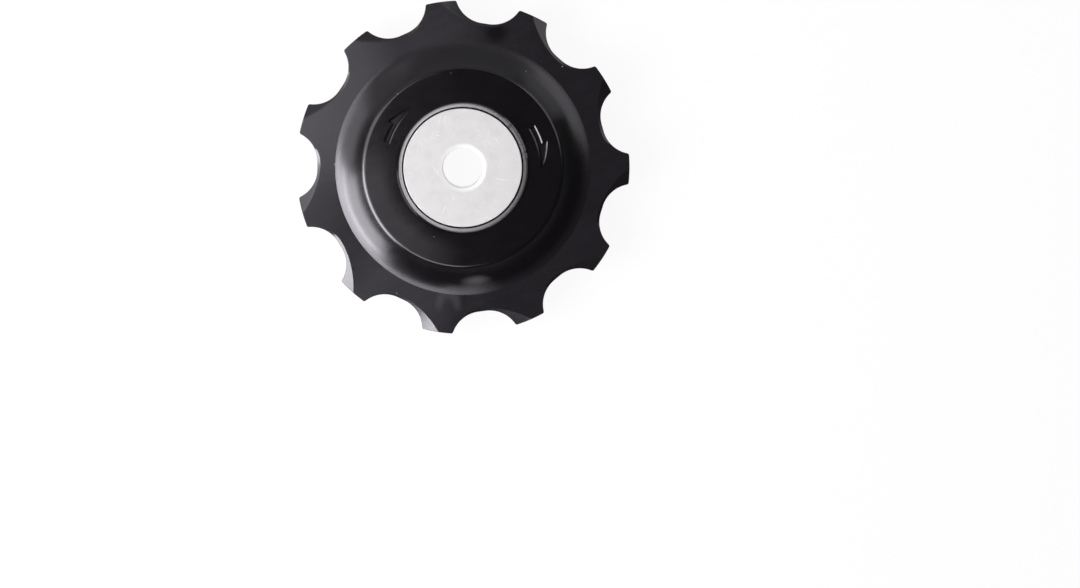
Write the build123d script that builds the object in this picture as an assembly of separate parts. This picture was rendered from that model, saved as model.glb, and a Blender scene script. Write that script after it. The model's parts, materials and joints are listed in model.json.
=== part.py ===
from build123d import *
import os
from math import pi, radians, sin, tan

# A jockey wheel for a bicycle rear derailleur, in millimetres.
# It lies flat: the axle is the Z axis, the origin is on the axle in the middle plane of the teeth,
# the marked face looks up, and one tooth points along +X.

# Chain and teeth
tooth_count = 11
chain_pitch = 12.7
roller_diameter = 7.75
roller_clearance = 0.1      # between a roller and its seat
gap_float = 0.92            # extra length of each gap along the pitch circle
tip_inset = 1.24            # from the pitch circle in to the tooth tips
tip_corner_radius = 0.3
tooth_thickness = 2.2

# Bevel on the leading flank of each tooth, an elliptical scoop beside the gap, on both faces
bevel_half_length = 5.47
bevel_half_width = 2.34
bevel_side_shift = 2.67     # from the middle of the gap towards the tooth
bevel_inset = 1.39          # from the pitch circle in to the middle of the scoop
bevel_turn = 21.4           # degrees between the scoop's length and the pitch circle
bevel_slope = 22.0          # degrees between the bevel and the tooth's face
bevel_floor_half_width = 0.24

# Web, boss and lip of the wheel
rim_land = 2.27             # flat between the bottom of a gap and the cove
cove_width = 3.4
cove_foot_angle = 13.0      # degrees of the cove's slope where it leaves the flat
cove_head_angle = 42.0      # degrees of its slope where it meets the boss
boss_edge = 0.2             # chamfer between the boss and the cove
lip_height = 0.45           # of the lip above the boss
lip_crest_width = 0.4
lip_slope_run = 0.35        # from the crest out to the foot of the lip
lip_set_back = 0.25         # of the lip below the cap's face

# Sealed ball bearing
bearing_bore = 7.0
bearing_od = 14.0
bearing_width = 5.0
ball_count = 7
ball_diameter = 1.984
race_play = 0.03            # between a ball and its grooves
race_depth = 0.32           # of a groove below its land
cage_clearance = 0.2        # between the cage and the lands
cage_web = 0.35             # of the cage under a ball
cage_claw = 0.35            # of the cage above the middle of a ball
pocket_clearance = 0.04
seal_thickness = 0.35
seal_inset = 0.15           # of the seal below the bearing's face
seal_bite = 0.3             # of the seal's rim into the outer ring
seal_lip_clearance = 0.05
seat_shoulder = 0.5         # of the rear shoulder under the outer ring
shoulder_thickness = 0.25

# Axle bush and caps
bolt_bore = 5.1
overall_width = 8.0         # over both caps
cap_overlap = 0.55          # of the cap over the bearing's outer ring
cap_gap = 0.17              # between the cap and the lip
cap_running_gap = 0.15      # between the cap and the wheel's shoulder
cap_boss_wall = 0.8         # of the cap's boss on the inner ring
cap_edge = 0.18             # chamfer round the cap's face
bore_flare_width = 0.5      # of the flare round the bore in the cap's face
bore_flare_depth = 0.1
bush_engagement = 0.6       # of the bush in each cap

# Worked out from the sizes above
tooth_angle = 360 / tooth_count
pitch_radius = chain_pitch / 2 / sin(pi / tooth_count)
seat_radius = roller_diameter / 2 + roller_clearance
root_radius = pitch_radius - seat_radius
tip_radius = pitch_radius - tip_inset
plate_half = tooth_thickness / 2
crease_radius = root_radius - rim_land
boss_radius = crease_radius - cove_width

bearing_half = bearing_width / 2
ball_radius = ball_diameter / 2
ball_circle_radius = (bearing_bore + bearing_od) / 4
race_radius = ball_radius + race_play
inner_land_radius = ball_circle_radius - race_radius + race_depth
outer_land_radius = ball_circle_radius + race_radius - race_depth
pocket_radius = ball_radius + pocket_clearance
seal_outer_radius = outer_land_radius + seal_bite
seal_inner_radius = inner_land_radius + seal_lip_clearance
seal_top = bearing_half - seal_inset
seal_bottom = seal_top - seal_thickness

cap_face = overall_width / 2
cap_radius = bearing_od / 2 + cap_overlap
cap_underside = bearing_half + shoulder_thickness + cap_running_gap
cap_boss_radius = bearing_bore / 2 + cap_boss_wall
bush_half = bearing_half + bush_engagement
recess_radius = cap_radius + cap_gap
lip_crest = cap_face - lip_set_back
boss_face = lip_crest - lip_height
lip_foot_radius = recess_radius + lip_crest_width + lip_slope_run


def turned(profile):
    """A solid of revolution about the axle, from a closed outline of radius and height."""
    return revolve(Plane.XZ * make_face(profile), Axis.Z)


def ring(inner, outer, bottom, top):
    """A plain ring between two radii and two heights."""
    return turned(Polyline((inner, bottom), (outer, bottom), (outer, top), (inner, top), close=True))


def flipped(solid):
    """The same piece turned over for the rear side."""
    return Rot(180, 0, 0) * solid


def cove():
    """The hollow curve from the tooth plate up to the boss, steeper as it rises."""
    foot_slope = tan(radians(cove_foot_angle))
    head_slope = tan(radians(cove_head_angle))
    rise = boss_face - boss_edge - plate_half
    run = (cove_width * head_slope - rise) / (head_slope - foot_slope)
    bend = (crease_radius - run, plate_half + run * foot_slope)
    return Bezier((crease_radius, plate_half), bend, (boss_radius, boss_face - boss_edge))


def wheel_half():
    """Front half of the toothless wheel: tooth plate, cove, boss, lip, cap recess and bearing seat."""
    hollow = cove()
    rest = Polyline(
        hollow @ 1,
        (boss_radius - boss_edge, boss_face),
        (lip_foot_radius, boss_face),
        (recess_radius + lip_crest_width, lip_crest),
        (recess_radius, lip_crest),
        (recess_radius, bearing_half),
        (bearing_od / 2, bearing_half),
        (bearing_od / 2, 0),
        (tip_radius, 0),
        (tip_radius, plate_half),
        hollow @ 0,
    )
    return turned(Curve() + [hollow, rest])


def at_gaps(cutter):
    """Copies of a cutter, drawn at the gap on +X, at every gap between two teeth."""
    return [Rot(0, 0, (index - 0.5) * tooth_angle) * cutter for index in range(tooth_count)]


def gap_cutter():
    """A roller's seat, drawn out along the pitch circle so that the roller can float."""
    slot = Pos(pitch_radius, 0) * Rot(0, 0, 90) * SlotCenterToCenter(gap_float, 2 * seat_radius)
    return extrude(slot, overall_width, both=True)


def bevel_cutter():
    """A shallow elliptical scoop with sides of one slope, sunk into the upper face of the tooth plate."""
    side_run = bevel_half_width - bevel_floor_half_width
    depth = side_run * tan(radians(bevel_slope))
    place = Pos(pitch_radius - bevel_inset, bevel_side_shift) * Rot(0, 0, 90 - bevel_turn)
    sections = [
        place * Pos(0, 0, plate_half + rise * depth)
        * Ellipse(bevel_half_length + rise * side_run, bevel_half_width + rise * side_run)
        for rise in (-1, 1)
    ]
    return loft(sections, ruled=True)


def pulley_wheel():
    half = wheel_half()
    shoulder = ring(
        bearing_od / 2 - seat_shoulder, recess_radius, -bearing_half - shoulder_thickness, -bearing_half
    )
    wheel = half + mirror(half, about=Plane.XY) + shoulder
    wheel -= at_gaps(gap_cutter())
    tip_edges = wheel.edges().filter_by(Axis.Z).filter_by(
        lambda e: abs(Vector(e.center().X, e.center().Y).length - tip_radius) < tip_corner_radius
    )
    wheel = fillet(tip_edges, tip_corner_radius)
    scoop = bevel_cutter()
    wheel -= at_gaps(scoop) + at_gaps(mirror(scoop, about=Plane.XY))
    return wheel


def race_groove():
    """The ring of space that the balls run in."""
    return Torus(ball_circle_radius, race_radius)


def inner_ring():
    blank = ring(bearing_bore / 2, inner_land_radius, -bearing_half, bearing_half)
    return blank - race_groove()


def outer_ring():
    blank = ring(outer_land_radius, bearing_od / 2, -bearing_half, bearing_half)
    seal_groove = ring(inner_land_radius, seal_outer_radius, seal_bottom, seal_top)
    return blank - race_groove() - seal_groove - flipped(seal_groove)


def seal():
    """A rubber washer snapped into the outer ring, with its lip just clear of the inner ring."""
    return ring(seal_inner_radius, seal_outer_radius, seal_bottom, seal_top)


def at_balls(shape):
    """Copies of a shape, drawn at the origin, at every ball."""
    step = 360 / ball_count
    return [Rot(0, 0, index * step) * Pos(ball_circle_radius, 0) * shape for index in range(ball_count)]


def cage():
    """A crown: a ring under the balls, with a round pocket open at the top for each."""
    bottom = -pocket_radius - cage_web
    crown = ring(inner_land_radius + cage_clearance, outer_land_radius - cage_clearance, bottom, cage_claw)
    pocket = Rot(0, 90, 0) * Cylinder(pocket_radius, outer_land_radius - inner_land_radius)
    return crown - at_balls(pocket)


def bush():
    return ring(bolt_bore / 2, bearing_bore / 2, -bush_half, bush_half)


def cap():
    """A turned cap: flat face, thin flange, and a boss that seats on the inner ring and takes the bush."""
    bore = bolt_bore / 2
    return turned(
        Polyline(
            (bore + bore_flare_width, cap_face),
            (cap_radius - cap_edge, cap_face),
            (cap_radius, cap_face - cap_edge),
            (cap_radius, cap_underside),
            (cap_boss_radius, cap_underside),
            (cap_boss_radius, bearing_half),
            (bearing_bore / 2, bearing_half),
            (bearing_bore / 2, bush_half),
            (bore, bush_half),
            (bore, cap_face - bore_flare_depth),
            close=True,
        )
    )


def write(name, shape):
    shape.label = name
    export_step(shape, os.path.join("parts", name + ".step"))


os.makedirs("parts", exist_ok=True)
write("pulley_wheel", pulley_wheel())
write("bearing_outer_ring", outer_ring())
write("bearing_inner_ring", inner_ring())
write("bearing_cage", cage())
for number, ball in enumerate(at_balls(Sphere(ball_radius)), start=1):
    write(f"bearing_ball_{number}", ball)
write("bearing_seal_front", seal())
write("bearing_seal_rear", flipped(seal()))
write("axle_bush", bush())
write("cap_front", cap())
write("cap_rear", flipped(cap()))
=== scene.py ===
import json
from math import acos, atan2, cos, hypot, pi, radians, sin, tan
import bpy
import numpy as np
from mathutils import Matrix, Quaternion, Vector


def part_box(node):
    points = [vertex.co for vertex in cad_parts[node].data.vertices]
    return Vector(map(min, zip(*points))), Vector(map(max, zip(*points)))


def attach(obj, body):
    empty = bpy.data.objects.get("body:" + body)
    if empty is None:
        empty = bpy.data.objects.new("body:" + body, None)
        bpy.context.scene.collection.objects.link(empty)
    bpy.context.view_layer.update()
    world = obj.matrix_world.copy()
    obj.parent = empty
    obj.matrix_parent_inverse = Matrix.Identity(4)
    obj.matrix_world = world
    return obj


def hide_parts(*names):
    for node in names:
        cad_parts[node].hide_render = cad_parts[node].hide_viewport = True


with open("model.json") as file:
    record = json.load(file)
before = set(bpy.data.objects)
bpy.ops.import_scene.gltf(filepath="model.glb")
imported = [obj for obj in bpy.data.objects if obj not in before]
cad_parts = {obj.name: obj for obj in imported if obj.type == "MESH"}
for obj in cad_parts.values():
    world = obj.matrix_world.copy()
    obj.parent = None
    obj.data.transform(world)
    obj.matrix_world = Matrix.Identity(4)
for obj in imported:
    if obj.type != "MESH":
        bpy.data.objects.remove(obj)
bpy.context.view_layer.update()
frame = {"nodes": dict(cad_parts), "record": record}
mm = 0.001  # sizes below are in millimetres
print("frame loaded:", len(frame["nodes"]), "nodes")


# meshes


def putMesh(name, points, faces, smoothAngle):
    # points in millimetres and a list of faces become an object at the origin, sharp at edges past the angle
    mesh = bpy.data.meshes.new(name)
    mesh.from_pydata((points * mm).tolist(), [], faces)
    mesh.polygons.foreach_set("use_smooth", np.ones(len(mesh.polygons), bool))
    mesh.set_sharp_from_angle(angle=radians(smoothAngle))
    mesh.update()
    piece = bpy.data.objects.new(name, mesh)
    bpy.context.scene.collection.objects.link(piece)
    return piece


def gridFaces(columns, rows):
    # quads of a grid that is closed both ways, the profile running along the rows
    u, v = np.meshgrid(np.arange(columns), np.arange(rows), indexing="ij")
    uNext, vNext = (u + 1) % columns, (v + 1) % rows
    corners = [u * rows + v, u * rows + vNext, uNext * rows + vNext, uNext * rows + v]
    return np.stack([c.ravel() for c in corners], 1)


def welded(points, quads, decimals=5):
    # points at one place become one, a quad with two equal corners a triangle, thinner ones nothing
    _, first, same = np.unique(np.round(points, decimals), axis=0, return_index=True, return_inverse=True)
    quads = same.reshape(-1)[quads]
    repeated = quads == np.roll(quads, -1, axis=1)
    folded = (quads[:, 0] == quads[:, 2]) | (quads[:, 1] == quads[:, 3])
    whole = quads[(repeated.sum(1) == 0) & ~folded]
    pinched = (repeated.sum(1) == 1) & ~folded
    triangles = quads[pinched][~repeated[pinched]].reshape(-1, 3)
    return points[first], whole.tolist() + triangles.tolist()


def arc(centre, radius, start, end, steps):
    # points on a circle from one angle to another, in degrees
    angle = np.radians(np.linspace(start, end, steps + 1))
    return np.stack([centre[0] + radius * np.cos(angle), centre[1] + radius * np.sin(angle)], 1)


def roundedLoop(corners, steps=6, hold=0.03, tiny=1e-6):
    # a closed outline of radius and height, where each corner (r, z, rounding) becomes an arc that starts
    # and ends where both sides touch the circle, with one point more beside each end, which keeps flats flat
    corners = np.array(corners, float)
    at, size = corners[:, :2], corners[:, 2:]
    back, ahead = np.roll(at, 1, 0) - at, np.roll(at, -1, 0) - at
    back /= np.linalg.norm(back, axis=1, keepdims=True)
    ahead /= np.linalg.norm(ahead, axis=1, keepdims=True)
    half = np.arccos(np.clip((back * ahead).sum(1, keepdims=True), -1, 1)) / 2
    reach = size / np.tan(half)
    inwards = (back + ahead) / np.linalg.norm(back + ahead, axis=1, keepdims=True)
    middle = at + inwards * size / np.sin(half)
    share = np.linspace(0, 1, steps + 1)[None, :, None]
    ray = (1 - share) * (at + back * reach - middle)[:, None] + share * (at + ahead * reach - middle)[:, None]
    ray *= size[:, None] / np.maximum(np.linalg.norm(ray, axis=2, keepdims=True), tiny)
    first, last = at + back * (reach + hold), at + ahead * (reach + hold)
    loop = np.concatenate([first[:, None], middle[:, None] + ray, last[:, None]], 1).reshape(-1, 2)
    return loop[np.linalg.norm(loop - np.roll(loop, 1, 0), axis=1) > tiny]


def carriedRound(loop, angle):
    # a profile of radius and height at every angle: x is r times the cosine, y is r times the sine
    r, z = loop.T
    height = np.broadcast_to(z, (len(angle), len(z)))
    return np.stack([np.outer(np.cos(angle), r), np.outer(np.sin(angle), r), height], 2)


def turnedPiece(name, loop, columns=192, smoothAngle=25):
    # a closed outline carried round the axle
    points = carriedRound(loop, np.arange(columns) / columns * 2 * pi).reshape(-1, 3)
    return putMesh(name, points, gridFaces(columns, len(loop)).tolist(), smoothAngle)


# shader maths


def addNode(tree, kind, settings=None, sockets=None, output=0):
    # one node: its settings first, then the values or wires of its sockets
    node = tree.nodes.new(kind)
    for key, value in (settings or {}).items():
        setattr(node, key, value)
    for key, value in (sockets or {}).items():
        if isinstance(value, Wire):
            tree.links.new(value.socket, node.inputs[key])
        else:
            node.inputs[key].default_value = value
    return Wire(node.outputs[output])


class Wire:
    # wraps a node's output, so that maths on it reads as an expression
    def __init__(self, socket):
        self.socket = socket

    def maths(self, operation, *values):
        # a Math node on the values, in their order
        settings, sockets = {"operation": operation}, dict(enumerate(values))
        return addNode(self.socket.id_data, "ShaderNodeMath", settings, sockets)

    def __add__(self, other):
        return self.maths("ADD", self, other)

    def __radd__(self, other):
        return self.maths("ADD", other, self)

    def __sub__(self, other):
        return self.maths("SUBTRACT", self, other)

    def __rsub__(self, other):
        return self.maths("SUBTRACT", other, self)

    def __mul__(self, other):
        return self.maths("MULTIPLY", self, other)

    def __rmul__(self, other):
        return self.maths("MULTIPLY", other, self)

    def __pow__(self, other):
        return self.maths("POWER", self, other)

    def __rpow__(self, other):
        return self.maths("POWER", other, self)

    def __abs__(self):
        return self.maths("ABSOLUTE", self)

    def rise(self, low, high):
        # 0 below low, 1 above high, smooth between; falls where low is above high
        return addNode(
            self.socket.id_data, "ShaderNodeMapRange", {"interpolation_type": "SMOOTHSTEP"},
            {"Value": self, "From Min": low, "From Max": high},
        )

    def between(self, start, full, fade, end):
        # 1 from full to fade, falling to 0 at start and at end
        return self.rise(start, full) * self.rise(end, fade)

    def near(self, middle, reach, core=0.0):
        # 1 within the core around a value, falling to 0 at the reach
        return abs(self - middle).rise(reach, core)

    def towards(self, direction, edge):
        # for an angle: 1 at a direction, falling to 0 where the cosine of what lies between is the edge
        return self.maths("COSINE", self - direction).rise(edge, 1.0)


def longSide(along, across):
    # the long side of a right-angled triangle: the root of both squares added up
    return (along * along + across * across) ** 0.5


class Finish:
    # a material with one principled shader, and the piece's own coordinates in millimetres
    def __init__(self, name, **constants):
        self.material = bpy.data.materials.new(name)
        self.material.use_nodes = True
        self.tree = self.material.node_tree
        self.shader = self.tree.nodes["Principled BSDF"]
        for key, value in constants.items():
            self.shader.inputs[key.replace("_", " ")].default_value = value
        place = self.node("ShaderNodeTexCoord", output="Object")
        self.place = self.node("ShaderNodeVectorMath", {"operation": "SCALE"}, {0: place, "Scale": 1 / mm})
        self.x, self.y, self.z = (
            self.node("ShaderNodeSeparateXYZ", None, {0: self.place}, axis) for axis in range(3)
        )
        self.radius = longSide(self.x, self.y)

    def node(self, kind, settings=None, sockets=None, output=0):
        # a node of this material
        return addNode(self.tree, kind, settings, sockets, output)

    def noise(self, scale, detail=2.0, roughness=0.5, place=None):
        # soft noise from 0 to 1, with about as many marks to the millimetre as the scale says
        sockets = {"Vector": place or self.place, "Scale": scale, "Detail": detail, "Roughness": roughness}
        return self.node("ShaderNodeTexNoise", None, sockets)

    def along(self, *wires):
        # a place made of values, for marks that follow them alone
        return self.node("ShaderNodeCombineXYZ", None, dict(enumerate(wires)))

    def stretched(self, turn, along, across, offset=0.0, drift=1.7):
        # the coordinates turned about the axle and drawn out along one direction
        return self.node(
            "ShaderNodeMapping", {"vector_type": "TEXTURE"},
            {"Vector": self.place, "Rotation": (0, 0, radians(turn)), "Scale": (1 / along, 1 / across, 1.0),
             "Location": (offset, offset * drift, 0)},
        )

    def mix(self, share, first, second):
        # the first colour where the share is 0, the second where it is 1
        return self.node("ShaderNodeMix", {"data_type": "RGBA"}, {0: share, 6: first, 7: second}, 2)

    def bump(self, height, distance=1.0):
        # height in units of the distance, which is in millimetres
        sockets = {"Height": height, "Distance": distance * mm, "Strength": 1.0}
        return self.node("ShaderNodeBump", None, sockets)

    def feed(self, **wires):
        # joins what varies over the surface to the shader's inputs
        for key, wire in wires.items():
            self.tree.links.new(wire.socket, self.shader.inputs[key.replace("_", " ")])
        return self.material


def grey(level):
    # a level as a colour without hue
    return (level, level, level, 1.0)


# black plastic; directions are angles round the axle in radians, radii and heights are in millimetres

lipRub = dict(
    offCentre=0.21, outer=(8.42, 7.98), inner=(7.72, 7.8), heights=(3.35, 3.66),
    # the rub is painted lighter towards one side, where the light comes from, and darker away from it
    litSideTowards=2.88, pale=0.62, litSideSwing=0.33, nicked=0.55,
    chipped=0.5, chipHeights=(3.3, 3.45), chipGroove=8.12, chipEdge=8.27,
)


def rubbedLip(f, side, height):
    # the lip is rubbed pale by the cap: where its crest is, times how pale it is, painted lighter towards the
    # lit side and darker away from it, less nicks and a chipped groove, plus the chip's pale edge
    lip = lipRub
    crest = longSide(f.x - lip["offCentre"], f.y).rise(*lip["outer"]) * f.radius.rise(*lip["inner"])
    crest = crest * height.rise(*lip["heights"])
    # painted light: paler towards the lit side, darker away from it
    pale = side.maths("COSINE", side - lip["litSideTowards"]) * lip["litSideSwing"] + lip["pale"]
    nick = f.noise(1.6, 4.0, 0.7).rise(0.52, 0.6) * side.near(lip["nicked"], 0.75, 0.3)
    rub = crest * pale * (1 - nick * 0.55) * (f.noise(2.4, 3.0) * 0.5 + 0.75)
    chip = side.near(lip["chipped"], 0.42, 0.25) * f.noise(1.9, 3.0, 0.6).rise(0.4, 0.48)
    chip = chip * height.rise(*lip["chipHeights"])
    groove = f.radius.near(lip["chipGroove"], 0.1, 0.02) * 0.7
    edge = f.radius.near(lip["chipEdge"], 0.15, 0.02)
    return crest, nick, rub * (1 - chip * groove) + chip * edge


# a painted highlight along the cove's foot and a dab beside it, and a faint smudged loop on the rim
highlightAndSmudge = dict(
    streakRadii=(14.7, 15.5, 15.9, 16.5), streakTowards=-1.5, streakReach=0.3,
    dab=(1.8, -14.6), dabReach=0.9, dabStretch=0.36, dabTilt=0.1, dabShare=1.5,
    loop=(-1.7, -18.6), loopRadius=1.25, loopReach=0.8, loopStretch=0.45, loopShare=0.4,
    loopEnds=(-18.8, -17.4, -15.6, -14.6), upperSide=(0.5, 1.0),
)


def paintedHighlightAndSmudge(f, side):
    # a painted highlight on the upper face, a streak along the cove's foot and a dab beside it, with a faint
    # smudged loop on the rim, added up and made patchy
    s = highlightAndSmudge
    streak = f.radius.between(*s["streakRadii"]) * side.near(s["streakTowards"], s["streakReach"])
    x, y = s["dab"]
    dab = longSide((f.x - x) * s["dabStretch"], f.y - y - f.x * s["dabTilt"]).rise(s["dabReach"], 0.0)
    x, y = s["loop"]
    loop = longSide(f.x - x, (f.y - y) * s["loopStretch"]).near(s["loopRadius"], s["loopReach"])
    loop = loop * f.y.between(*s["loopEnds"])
    patchy = f.noise(0.4) * 0.8 + 0.6
    return (streak + dab * s["dabShare"] + loop * s["loopShare"]) * patchy * f.z.rise(*s["upperSide"])


def dustSpecks(f):
    # a small speck in the middle of a cell, in those cells whose random colour has enough red
    sockets = {"Vector": f.place, "Scale": 0.62, "Randomness": 1.0}
    cells = f.node("ShaderNodeTexVoronoi", {"feature": "F1"}, sockets)
    pick = f.node("ShaderNodeSeparateColor", None, {0: Wire(cells.socket.node.outputs["Color"])})
    return cells.rise(0.055, 0.035) * pick.rise(0.72, 0.74)


plastic = dict(
    colour=(0.0036, 0.0028, 0.0036, 1), rim=(0.0085, 0.0072, 0.0092, 1), worn=(0.41, 0.385, 0.4, 1),
    sheenAndSmudge=(0.05, 0.048, 0.053, 1), dust=(0.45, 0.43, 0.42, 1), gloss=0.22,
    rimHeights=(1.6, 1.15), flatHeights=(0.95, 1.09, 1.12, 1.3), bossHeights=(3.2, 3.28),
    bossRadii=(8.6, 12.3), bossDome=0.016,
    # a painted sheen on the rim's flat: the side it is paler towards, how wide and how strong
    sheenSides=((2.7, 0.74, 1.0), (-2.0, 0.9, 0.5), (1.76, 0.93, 0.32)),  # direction, edge and strength
    # the last three values place the boss's painted sheen: its direction, edge and radii
    wiped=(4.1, 17.3), wipedReach=(1.9, 0.5), bossSheenTowards=-2.48, bossSheenEdge=0.55, bossSheenRadii=(8.4, 11.0),
)


def blackPlastic():
    # black, paler on the rim; a painted sheen and highlight with a faint smudge, the rubbed lip with its
    # painted lit side, and dust are mixed into the colour one after another, and each adds its share to the
    # roughness
    p = plastic
    f = Finish("blackPlastic", Specular_IOR_Level=0.75, Specular_Tint=(0.96, 0.92, 1.0, 1))
    height, side = abs(f.z), f.y.maths("ARCTAN2", f.y, f.x)
    cloud = f.noise(0.22, 3.0)
    grain = f.noise(7.0, 3.0, 0.6)
    flow = f.noise(0.9, place=f.stretched(20, 0.35, 1.6))  # faint flow marks of the moulding
    crest, nick, rub = rubbedLip(f, side, height)
    # the painted highlight on the cove, with the faint smudge
    highlightAndSmudgeMask = paintedHighlightAndSmudge(f, side)
    speck = dustSpecks(f)
    # the rim's flat has a painted sheen towards some sides and was wiped clean in one spot; the boss came
    # smoother from the mould
    flat = height.between(*p["flatHeights"])
    flatSheen = sum(side.towards(middle, edge) * much for middle, edge, much in p["sheenSides"]) * flat
    wiped = longSide(f.x - p["wiped"][0], f.y - p["wiped"][1]).rise(*p["wipedReach"]) * flat
    boss = height.rise(*p["bossHeights"]) * (1 - crest)
    # a painted sheen on the boss, paler towards the lower left
    oilFilmAndBossSheen = side.towards(p["bossSheenTowards"], p["bossSheenEdge"]) * f.radius.rise(*p["bossSheenRadii"]) * boss
    colour = f.mix(height.rise(*p["rimHeights"]), p["colour"], p["rim"])
    colour = f.mix(wiped * 0.9, colour, p["colour"])
    # a paler colour for the painted highlight and sheen, and the faint smudge
    colour = f.mix(highlightAndSmudgeMask * 0.7 + flatSheen * 0.65 + oilFilmAndBossSheen * 0.5, colour, p["sheenAndSmudge"])
    colour = f.mix(rub, colour, p["worn"])
    colour = f.mix(speck * 0.55, colour, p["dust"])
    rough = cloud * 0.1 + flow * 0.06 + (p["gloss"] - 0.08)  # less what the noise adds on average
    rough = rough + highlightAndSmudgeMask * 0.1 + rub * 0.25 + speck * 0.3 - boss * 0.06 - wiped * 0.05
    start, end = p["bossRadii"]
    dome = f.radius.maths("MAXIMUM", f.radius, start)
    dome = dome.maths("MINIMUM", dome, end) * p["bossDome"]  # the boss sinks a little outwards
    relief = grain * 0.0028 + flow * 0.004 + crest * nick * 0.012 - dome
    return f.feed(Base_Color=colour, Roughness=rough, Normal=f.bump(relief))


# other finishes

aluminium = dict(
    colour=(0.7, 0.69, 0.695, 1), stain=(0.66, 0.65, 0.65, 1), bright=(0.82, 0.81, 0.81, 1), rough=0.8,
    # near the bore the metal is painted lighter, which lifts the shade on the flare
    brightNearBore=(3.3, 2.8), patchShift=5,
    marks=((-58, 0.0), (72, 3.1), (-12, 6.4)),  # turn of the scratches and shift of their pattern
)


def satinAluminium():
    # satin metal with stains and rings from turning, and scratches in three directions, added up, and painted
    # lighter near the bore
    a = aluminium
    f = Finish("satinAluminium", Metallic=1.0)
    cloud = f.noise(0.5, 4.0, 0.6)
    rings = f.noise(9.0, roughness=0.6, place=f.along(f.radius))
    fine = f.noise(30.0)
    scratch = sum(
        f.noise(1.0, 1.0, 0.4, f.stretched(turn, 0.45, 7.0, shift)).rise(0.68, 0.73)
        * f.noise(0.45, 1.0, place=f.stretched(turn, 1.0, 1.0, shift + a["patchShift"])).rise(0.5, 0.58)
        for turn, shift in a["marks"]
    )
    colour = f.mix(cloud.rise(0.45, 0.7) * 0.5, a["colour"], a["stain"])
    colour = f.mix(scratch * 0.5, colour, a["bright"])
    colour = f.mix(f.radius.rise(*a["brightNearBore"]), colour, a["bright"])  # painted lighter near the bore, to lift the shade on its flare
    rough = cloud * 0.12 + fine * 0.06 + (a["rough"] - 0.09) - scratch * 0.12
    relief = rings * 0.002 - scratch * 0.004 + fine * 0.0006
    return f.feed(Base_Color=colour, Roughness=rough, Normal=f.bump(relief))


def turnedSteel(name, tone, rough, grooves):
    # bright steel with fine marks round the axle and a thin film of oil in patches
    f = Finish(name, Metallic=1.0)
    rings = f.noise(11.0, roughness=0.6, place=f.along(f.radius, f.z))
    oilFilmAndBossSheen = f.noise(0.7, 3.0, 0.6).rise(0.42, 0.68)
    colour = f.mix(oilFilmAndBossSheen * 0.35, grey(tone), (tone * 0.72, tone * 0.69, tone * 0.62, 1))
    rough = rings * 0.1 + oilFilmAndBossSheen * 0.1 + (rough - 0.08)
    return f.feed(Base_Color=colour, Roughness=rough, Normal=f.bump(rings, grooves))


nylon = dict(colour=(0.74, 0.7, 0.58, 1), darker=(0.66, 0.61, 0.48, 1), rough=0.42)


def cageNylon():
    # cream plastic, a little cloudy, with a fine grain
    f = Finish("cageNylon")
    cloud = f.noise(0.9, 3.0)
    grain = f.noise(9.0, 3.0, 0.6)
    colour = f.mix(cloud, nylon["colour"], nylon["darker"])
    return f.feed(Base_Color=colour, Roughness=cloud * 0.14 + nylon["rough"], Normal=f.bump(grain, 0.004))


rubber = dict(colour=grey(0.016), paler=grey(0.03), rough=0.6)


def sealRubber():
    # dull black with a fine grain and faint ribs round the axle
    f = Finish("sealRubber", Specular_IOR_Level=0.35)
    cloud = f.noise(0.8, 3.0)
    grain = f.noise(12.0, 4.0, 0.65)
    ribs = f.noise(5.0, 1.0, place=f.along(f.radius))
    colour = f.mix(cloud.rise(0.4, 0.7), rubber["colour"], rubber["paler"])
    relief = grain * 0.004 + ribs * 0.006
    return f.feed(Base_Color=colour, Roughness=cloud * 0.12 + rubber["rough"], Normal=f.bump(relief))


finishes = {
    "black_plastic": blackPlastic(),
    "satin_aluminium": satinAluminium(),
    "bearing_steel": turnedSteel("bearingSteel", tone=0.62, rough=0.2, grooves=0.001),
    "bush_steel": turnedSteel("bushSteel", tone=0.68, rough=0.22, grooves=0.002),
    "cage_nylon": cageNylon(),
    "seal_rubber": sealRubber(),
}
print("finishes made:", ", ".join(finishes))


# wheel; slopes, leans and turns are in degrees

wheel = dict(
    teeth=11, chainPitch=12.7, seatRadius=3.975, gapFloat=0.92, plateHalf=1.1, edgeRounding=0.05,
    tipRadius=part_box("pulley_wheel")[1].x / mm, tipRounding=0.3, smoothAngle=11,
    bevelLength=5.47, bevelWidth=2.34, bevelShift=2.67, bevelInset=1.39,
    bevelTurn=21.4, bevelSlope=22.0, bevelRun=2.1,
    rimLand=2.27, coveWidth=3.4, coveFoot=13.0, coveHead=42.0, bossEdge=0.2,
    lipTop=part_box("pulley_wheel")[1].z / mm, lipHeight=0.45, lipCrest=0.4, lipRun=0.35,
    lipInner=0.08, lipOuter=0.2, capGap=0.17,
    seatBore=7.0, seatHalf=2.5, shoulderBore=6.5, shoulder=0.25,
)
toothTurn = 2 * pi / wheel["teeth"]
pitchRadius = wheel["chainPitch"] / 2 / sin(pi / wheel["teeth"])
creaseRadius = pitchRadius - wheel["seatRadius"] - wheel["rimLand"]
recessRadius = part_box("cap_front")[1].x / mm + wheel["capGap"]
bossFace = wheel["lipTop"] - wheel["lipHeight"]


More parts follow.
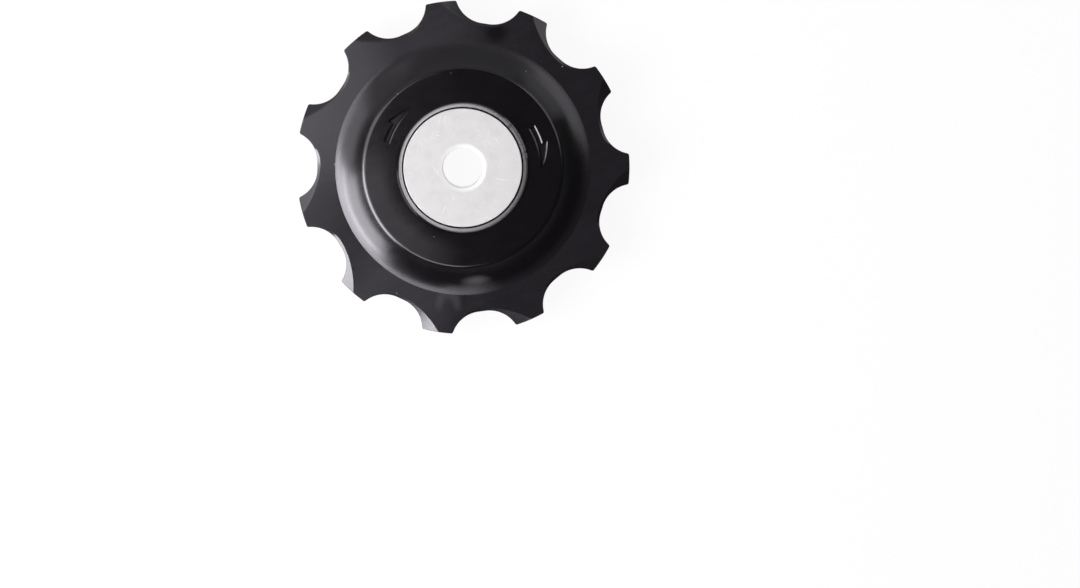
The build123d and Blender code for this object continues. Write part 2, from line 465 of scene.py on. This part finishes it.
def gapOutline(samples):
    # half a gap, from its middle to the middle of the tooth: a flat, the roller's seat as an arc, the
    # rounded corner of the tip as an arc that touches the seat and the tip circle, and the tip circle
    w = wheel
    seat, tip, corner = w["seatRadius"], w["tipRadius"], w["tipRounding"]
    middle = np.array([pitchRadius, w["gapFloat"] / 2])
    reach = hypot(*middle)
    turn = acos((reach**2 + (tip - corner) ** 2 - (seat + corner) ** 2) / (2 * reach * (tip - corner)))
    turn += atan2(middle[1], middle[0])
    cornerMiddle = (tip - corner) * np.array([cos(turn), sin(turn)])
    toSeat = np.degrees(atan2(*(middle - cornerMiddle)[::-1]))
    across = np.linspace(0, middle[1], samples[0] + 1)
    flat = np.stack([np.full_like(across, pitchRadius - seat), across], 1)
    seatArc = arc(middle, seat, 180, toSeat + 180, samples[1])
    cornerArc = arc(cornerMiddle, corner, toSeat, np.degrees(turn), samples[2])
    tipArc = arc((0, 0), tip, np.degrees(turn), np.degrees(toothTurn / 2), samples[3])
    outline = np.concatenate([flat, seatArc[1:], cornerArc[1:], tipArc[1:]])
    normals = np.concatenate([
        np.broadcast_to([1.0, 0.0], flat.shape), (middle - seatArc[1:]) / seat,
        (cornerArc[1:] - cornerMiddle) / corner, tipArc[1:] / tip,
    ])
    return outline, normals


def bothHalves(half):
    # the other half of the gap is the mirror image, in front of this one
    return np.concatenate([(half * [1, -1])[:0:-1], half])


def turnedBy(points, angle):
    # points turned about the axle: x cos - y sin, x sin + y cos
    c, s = np.cos(angle), np.sin(angle)
    return np.stack([points[..., 0] * c - points[..., 1] * s, points[..., 0] * s + points[..., 1] * c], -1)


def bevelReach(points, farAway=60.0, halvings=48, tiny=1e-6):
    # how far a point lies outside (above 0) or inside (below 0) the nearest bevel's ellipse: the growth k of
    # both half axes for which (u / (a + k))^2 + (v / (b + k))^2 = 1, by halving; at this gap and its two
    # neighbours
    w = wheel
    centre = np.array([pitchRadius - w["bevelInset"], w["bevelShift"]])
    lean = radians(90 - w["bevelTurn"])
    nearest = np.full(points.shape[:-1], farAway)
    for gap in (-1, 0, 1):
        u, v = np.moveaxis(turnedBy(turnedBy(points, -gap * toothTurn) - centre, -lean), -1, 0)
        low = np.full(u.shape, tiny - w["bevelWidth"])
        high = np.full(u.shape, farAway)
        for _ in range(halvings):
            k = (low + high) / 2
            outside = (u / (w["bevelLength"] + k)) ** 2 + (v / (w["bevelWidth"] + k)) ** 2 > 1
            low, high = np.where(outside, k, low), np.where(outside, high, k)
        nearest = np.minimum(nearest, (low + high) / 2)
    return nearest


def bevelEdge(start, end, samples=60, halvings=30):
    # where the line from start to end first comes into the bevel, as a share of its length: by steps, then
    # by halving
    share = np.linspace(0, 1, samples + 1)
    line = start[:, None] + (end - start)[:, None] * share[None, :, None]
    within = bevelReach(line) < 0
    entered = within.any(1)
    index = np.maximum(within.argmax(1), 1)
    low, high = share[index - 1], share[index]
    for _ in range(halvings):
        middle = (low + high) / 2
        inside = bevelReach(start + (end - start) * middle[:, None]) < 0
        low, high = np.where(inside, low, middle), np.where(inside, middle, high)
    return np.where(entered, (low + high) / 2, 1.0)


def toothCell(samples=(2, 16, 9, 3), fineness=30):
    # one pitch of the rim, from tooth middle to tooth middle, with a column more wherever the bevel's
    # edge crosses the outline
    outline, normals = (bothHalves(v) for v in gapOutline(samples))
    fine, fineNormals = (bothHalves(v) for v in gapOutline([fineness * count for count in samples]))
    inside = bevelReach(fine - fineNormals * wheel["edgeRounding"]) < 0
    crossing = np.flatnonzero(inside[1:] != inside[:-1])
    order = np.concatenate([np.arange(len(outline)) * fineness, crossing + 0.5])
    points = np.concatenate([outline, (fine[crossing] + fine[crossing + 1]) / 2])
    away = np.concatenate([normals, fineNormals[crossing]])
    order = np.argsort(order)[:-1]  # the last column is the next cell's first
    return points[order], away[order]


def faceRows(points, away, bevelRows=4, roundRows=7, hold=0.06):
    # the upper side of each column: flat to the bevel's edge, down the bevel, then a quarter round to the
    # wall, with a row close to each edge so that flats shade flat
    w = wheel
    inset = points - away * w["edgeRounding"]
    angle = np.arctan2(inset[:, 1], inset[:, 0])
    crease = creaseRadius * np.stack([np.cos(angle), np.sin(angle)], 1)
    close = 1 - hold / np.linalg.norm(inset - crease, axis=1)
    share = np.minimum(bevelEdge(crease, inset), close)
    between = share[:, None] + (close - share)[:, None] * np.linspace(0, 1, bevelRows + 1)[None, :]
    shares = np.column_stack([np.zeros_like(share), share - (1 - close) / 2, between, np.ones_like(share)])
    flatPart = crease[:, None] + (inset - crease)[:, None] * shares[..., None]
    sink = np.clip(bevelReach(flatPart), -w["bevelRun"], 0) * tan(radians(w["bevelSlope"]))
    sink[:, :3] = 0  # the crease, the row before the bevel's edge and the edge itself
    tilt = np.radians(np.linspace(0, 90, roundRows + 1))[1:]
    roundPart = inset[:, None] + away[:, None] * (w["edgeRounding"] * np.sin(tilt))[None, :, None]
    roundSink = sink[:, -1:] - w["edgeRounding"] * (1 - np.cos(tilt))[None, :]
    height = w["plateHalf"] + np.concatenate([sink, roundSink], 1)
    return np.concatenate([np.concatenate([flatPart, roundPart], 1), height[..., None]], 2), angle


def hubProfile(roundRows=9, slopeRows=6, coveRows=12, hold=0.05):
    # radius and height from the recess over the lip, across the boss, round its edge and down the cove: the
    # lip's corners are arcs that touch its crest and sides, and the cove is a curve of second degree between
    # two slopes
    w = wheel
    top, inner, outer = w["lipTop"], w["lipInner"], w["lipOuter"]
    lean = atan2(w["lipHeight"], w["lipRun"])
    crestEnd = recessRadius + w["lipCrest"] - outer * tan(lean / 2)
    lip = np.concatenate([
        arc((recessRadius + inner, top - inner), inner, 180, 90, roundRows),
        arc((crestEnd, top - outer), outer, 90, 90 - np.degrees(lean), slopeRows),
        [[recessRadius + w["lipCrest"] + w["lipRun"], bossFace]],
    ])
    head, foot = radians(w["coveHead"]), radians(w["coveFoot"])
    edge = w["bossEdge"] / (1 - cos(head))
    edgeMiddle = (creaseRadius - w["coveWidth"] - edge * sin(head), bossFace - edge)
    rounding = arc(edgeMiddle, edge, 90, 90 - w["coveHead"], roundRows)
    held = rounding[:1] - [hold, 0]  # keeps the boss's shade flat
    rise = bossFace - w["bossEdge"] - w["plateHalf"]
    run = (w["coveWidth"] * tan(head) - rise) / (tan(head) - tan(foot))
    bend = np.array([creaseRadius - run, w["plateHalf"] + run * tan(foot)])
    end = np.array([creaseRadius, w["plateHalf"]])
    along = np.linspace(0, 1, coveRows + 1)[1:-1, None]
    cove = (1 - along) ** 2 * rounding[-1] + 2 * along * (1 - along) * bend + along**2 * end
    return np.concatenate([lip, held, rounding, cove])


def wheelMesh():
    # columns of one closed profile each: upper face and edge, lower ones mirrored, lower hub, seat, upper hub
    w = wheel
    upper, angle = faceRows(*toothCell())
    rim = np.concatenate([upper, upper[:, ::-1] * [1, 1, -1]], 1)
    hub = hubProfile()
    half, bottom = w["seatHalf"], -w["seatHalf"] - w["shoulder"]
    seat = np.array([
        (recessRadius, bottom), (w["shoulderBore"], bottom), (w["shoulderBore"], -half),
        (w["seatBore"], -half), (w["seatBore"], half), (recessRadius, half),
    ])
    inner = np.concatenate([hub[::-1] * [1, -1], seat, hub])
    cell = np.concatenate([rim, carriedRound(inner, angle)], 1)
    turns = (np.arange(w["teeth"]) - 0.5) * toothTurn
    flat = np.concatenate([turnedBy(cell[..., :2], turn) for turn in turns])
    points = np.concatenate([flat, np.tile(cell[..., 2:], (w["teeth"], 1, 1))], 2)
    return points.reshape(-1, 3), gridFaces(*points.shape[:2])


arrows = dict(
    tips=(0.9, 132.6), behindBarb=16.5, behindTail=29.5,  # degrees round the axle
    inner=9.9, outer=10.5, barb=11.15, tip=10.05, blunt=0.04,
    depth=0.28, draft=0.16, narrowDraft=0.35, flare=0.16, flareDepth=0.07, aboveFace=0.5,
    innerSteps=12, barbSteps=8, shaftSteps=6,
)


def arrowCutter(tipAngle):
    # a half arrow that runs clockwise, as corners of radius and of angle behind its tip: in along the inner
    # edge, out along the barb, back along the shaft; the floor is drawn in by the draft, less where the arrow
    # is narrow, and the mouth opens with a flatter slope that goes on above the face
    a = arrows
    tail, root, outer = a["behindTail"], a["behindBarb"], a["outer"]
    innerCount, barbCount, shaftCount = a["innerSteps"] + 1, a["barbSteps"] + 1, a["shaftSteps"] + 1
    behind = np.concatenate([
        np.linspace(tail, 0, innerCount), np.linspace(0, root, barbCount),
        np.linspace(root, tail, shaftCount),
    ])
    tipInner, tipOuter = a["tip"] - a["blunt"], a["tip"] + a["blunt"]
    innerEdge = tipInner + (a["inner"] - tipInner) * behind / tail
    outerEdge = np.where(behind <= root, tipOuter + (a["barb"] - tipOuter) * behind / root, outer)
    outerEdge[innerCount + barbCount:] = outer
    onInner = np.arange(len(behind)) < innerCount
    radius = np.where(onInner, innerEdge, outerEdge)
    inwards = np.minimum(a["draft"], a["narrowDraft"] * (outerEdge - innerEdge)) * np.where(onInner, 1, -1)
    forwards = np.where((behind == tail) | (behind == root), -np.degrees(a["draft"] / outer), 0)
    forwards[(behind == root) & onInner] = 0
    mouth = -(1 + a["aboveFace"]) * a["flare"] / a["draft"]
    share = np.array([[mouth], [0.0], [1.0]])  # of the draft, at the mouth, the flare's foot and the floor
    height = bossFace + np.array([[a["flareDepth"] * a["aboveFace"]], [-a["flareDepth"]], [-a["depth"]]])
    angle = np.radians(tipAngle + behind + share * forwards)
    reach = radius + share * inwards
    height = np.broadcast_to(height, reach.shape)
    points = np.stack([reach * np.cos(angle), reach * np.sin(angle), height], 2).reshape(-1, 3)
    count = len(behind)
    index = np.arange(count)
    ahead = (index + 1) % count
    walls = np.stack([index, index + count, ahead + count, ahead], 1)
    walls = np.concatenate([walls, walls + count]).tolist()
    mouthFace, floorFace = index.tolist(), (index + 2 * count)[::-1].tolist()
    return putMesh("cutter", points, walls + [mouthFace, floorFace], smoothAngle=30)


def cutWith(piece, cutter):
    # takes the cutter's form out of the piece, and leaves plain mesh
    change = piece.modifiers.new("cut", "BOOLEAN")
    change.operation, change.solver, change.object = "DIFFERENCE", "EXACT", cutter
    seen = piece.evaluated_get(bpy.context.evaluated_depsgraph_get())
    mesh = bpy.data.meshes.new_from_object(seen)
    piece.modifiers.clear()
    old = piece.data
    piece.data = mesh
    bpy.data.meshes.remove(old)
    bpy.data.objects.remove(cutter)


def dress(piece, name, body, slotName):
    # gives a piece its finish, hides the node it stands for and hangs it on the body that carries it
    piece.data.materials.clear()
    piece.data.materials.append(finishes[slotName])
    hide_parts(name)
    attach(piece, body)


pulley = putMesh("pulleyWheel", *welded(*wheelMesh()), wheel["smoothAngle"])
for tipAngle in arrows["tips"]:
    cutWith(pulley, arrowCutter(tipAngle))
pulley.data.set_sharp_from_angle(angle=radians(wheel["smoothAngle"]))
pulley.data.name = "pulleyWheel"
dress(pulley, "pulley_wheel", "wheel", "black_plastic")
print("wheel made:", len(pulley.data.polygons), "faces")


# caps and bush

cap = dict(
    flangeHeight=1.1, bossRadius=4.3, bushRadius=3.5, bushDepth=0.6, boreRadius=2.55,
    seat=wheel["seatHalf"], flareWidth=0.5, flareDepth=0.06, bushRounding=0.08,
    roundings=(1.5, 0.07, 0.06, 0.08, 0.05, 0.04, 0.03, 0.03, 0.06),  # in the order of capLoop's corners
)


def capLoop():
    # the front cap's outline, from the flare's edge outwards and round, with its edges slightly rounded
    c = cap
    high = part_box("cap_front")[1]
    rim, face, bore = high.x / mm, high.z / mm, c["boreRadius"]
    under, bushEnd = face - c["flangeHeight"], c["seat"] + c["bushDepth"]
    corners = [
        (bore + c["flareWidth"], face), (rim, face), (rim, under), (c["bossRadius"], under),
        (c["bossRadius"], c["seat"]), (c["bushRadius"], c["seat"]), (c["bushRadius"], bushEnd),
        (bore, bushEnd), (bore, face - c["flareDepth"]),
    ]
    return roundedLoop([(*corner, size) for corner, size in zip(corners, c["roundings"])])


def bushLoop():
    # the bush's outline, a plain wall with its four edges rounded
    low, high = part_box("axle_bush")
    bore, outside = cap["boreRadius"], high.x / mm
    corners = [(bore, high.z / mm), (outside, high.z / mm), (outside, low.z / mm), (bore, low.z / mm)]
    return roundedLoop([(*corner, cap["bushRounding"]) for corner in corners])


frontLoop = capLoop()
rearLoop = (frontLoop * [1, -1])[::-1]
dress(turnedPiece("capFront", frontLoop), "cap_front", "axle", "satin_aluminium")
dress(turnedPiece("capRear", rearLoop), "cap_rear", "axle", "satin_aluminium")
dress(turnedPiece("axleBush", bushLoop(), columns=128), "axle_bush", "axle", "bush_steel")
print("caps and bush made")


# bearing, as the frame has it

for part in frame["record"]["subparts"]:
    node = frame["nodes"][part["node"]]
    if part["node"].startswith("bearing_"):
        node.data.materials.clear()
        node.data.materials.append(finishes[part["material_slot"]])
print("bearing finished")


# floor, light and camera

stage = dict(half=3000.0, clearance=0.02, white=0.93, tone=grey(0.9), worldTone=0.03)


def floorMaterial():
    # a pale floor that is white to the eye and in reflections, and keeps a soft shadow
    material = bpy.data.materials.new("paleFloor")
    material.use_nodes = True
    tree = material.node_tree
    tree.nodes.clear()
    rays = ("Is Camera Ray", "Is Glossy Ray", "Is Transmission Ray")
    direct, mirrored, through = (addNode(tree, "ShaderNodeLightPath", output=ray) for ray in rays)
    seen = direct.maths("MAXIMUM", direct, mirrored.maths("MAXIMUM", mirrored, through))
    matt = addNode(tree, "ShaderNodeBsdfDiffuse", None, {"Color": stage["tone"]})
    shine = addNode(tree, "ShaderNodeEmission", None, {"Color": grey(1.0), "Strength": 1.0})
    both = addNode(tree, "ShaderNodeMixShader", None, {0: seen * stage["white"], 1: matt, 2: shine})
    out = tree.nodes.new("ShaderNodeOutputMaterial")
    tree.links.new(both.socket, out.inputs["Surface"])
    return material


def areaLight(name, azimuth, zenith, distance, width, height, radiance):
    # a panel that faces the wheel; its power is its radiance times pi times its area
    lamp = bpy.data.lights.new(name, "AREA")
    lamp.shape, lamp.size, lamp.size_y = "RECTANGLE", height * mm, width * mm
    lamp.energy = radiance * pi * width * height * mm**2
    light = bpy.data.objects.new(name, lamp)
    around, down, away = radians(azimuth), radians(zenith), distance * mm
    light.rotation_euler = (0, down, around)
    light.location = (away * sin(down) * cos(around), away * sin(down) * sin(around), away * cos(down))
    light.visible_camera = False
    bpy.context.scene.collection.objects.link(light)


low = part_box("cap_rear")[0].z / mm - stage["clearance"]
corners = np.array([(-1, -1), (1, -1), (1, 1), (-1, 1)]) * stage["half"]
floor = putMesh("floor", np.column_stack([corners, np.full(4, low)]), [[0, 1, 2, 3]], smoothAngle=30)
floor.data.materials.append(floorMaterial())

lamps = dict(  # azimuth, zenith, distance, width, height and radiance
    sideLight=(205, 43, 300, 188, 128, 8.6),
    sideGlow=(206, 63, 300, 214, 150, 6.6),
    turnGlow=(166, 57, 300, 150, 180, 1.6),
    backLight=(138, 64, 300, 170, 200, 0.45),
    farLight=(33, 46, 300, 165, 150, 1.15),
    farGlow=(42, 70, 300, 140, 120, 0.6),
    lowLight=(-107, 35, 300, 115, 100, 2.75),
    nearPanel=(174, 27, 170, 110, 110, 2.0),
    upperPanel=(90, 60, 350, 430, 380, 0.29),
)
for lampName, placing in lamps.items():
    areaLight(lampName, *placing)

world = bpy.data.worlds.new("studio")
world.use_nodes = True
world.node_tree.nodes["Background"].inputs["Color"].default_value = grey(stage["worldTone"])
bpy.context.scene.world = world

view = dict(
    distance=1000.0, acrossMm=137.9, rightMm=9.856, downMm=16.174, roll=0.6, lean=1.2, leanTowards=76.0,
    sensor=36.0, clipEnd=20.0,
)
camera = bpy.data.objects.new("camera", bpy.data.cameras.new("camera"))
camera.data.sensor_fit, camera.data.sensor_width = "HORIZONTAL", view["sensor"]
camera.data.lens = view["sensor"] * view["distance"] / view["acrossMm"]
camera.data.clip_end = view["clipEnd"]
lean, towards = radians(view["lean"]), radians(view["leanTowards"])
# outwards runs from the wheel to the camera, and inFrame says where the wheel lies in the picture
outwards = Vector((sin(lean) * cos(towards), sin(lean) * sin(towards), cos(lean)))
inFrame = Vector((-view["rightMm"], view["downMm"], -view["distance"]))
turn = Quaternion((0, 0, 1), radians(view["roll"]))
turn = (turn @ inFrame).rotation_difference(-outwards) @ turn
camera.rotation_euler = turn.to_euler()
camera.location = outwards * inFrame.length * mm + Vector((0, 0, wheel["plateHalf"] * mm))
bpy.context.scene.collection.objects.link(camera)
bpy.context.scene.camera = camera
bpy.context.scene.view_settings.view_transform = "Standard"
print("stage set")
